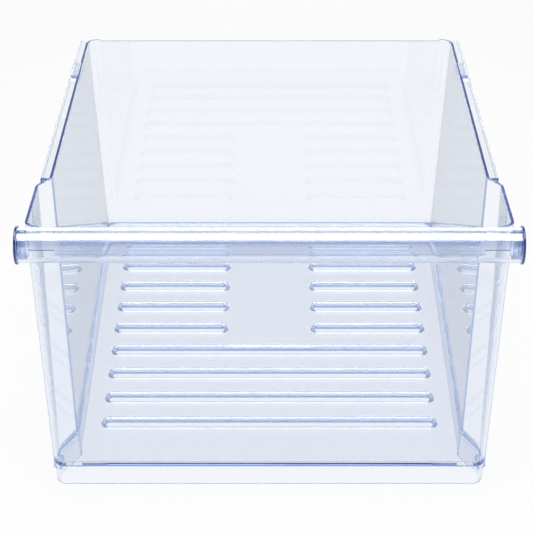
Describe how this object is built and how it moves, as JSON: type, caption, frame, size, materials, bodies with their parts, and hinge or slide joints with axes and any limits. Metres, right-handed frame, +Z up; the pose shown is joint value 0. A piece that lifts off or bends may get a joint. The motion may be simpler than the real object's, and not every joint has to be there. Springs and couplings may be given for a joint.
{
  "type": "crisper drawer",
  "caption": "Open-topped clear refrigerator drawer with a tapered ribbed tub, hanging side flanges, base skirt and a round grip rail with end discs hooked over the front wall.",
  "frame": {"origin": "centre of the base at the bottom of the skirt", "axes": "+Z up, the grip rail and front wall face -Y, X across the drawer"},
  "size_m": [0.3898, 0.4346, 0.2681],
  "materials": {
    "clear_styrene": "clear, polished"
  },
  "bodies": {
    "root": {"tub": "clear_styrene", "handle_rail": "clear_styrene", "left_end_cap": "clear_styrene", "right_end_cap": "clear_styrene"}
  },
  "joints": []
}
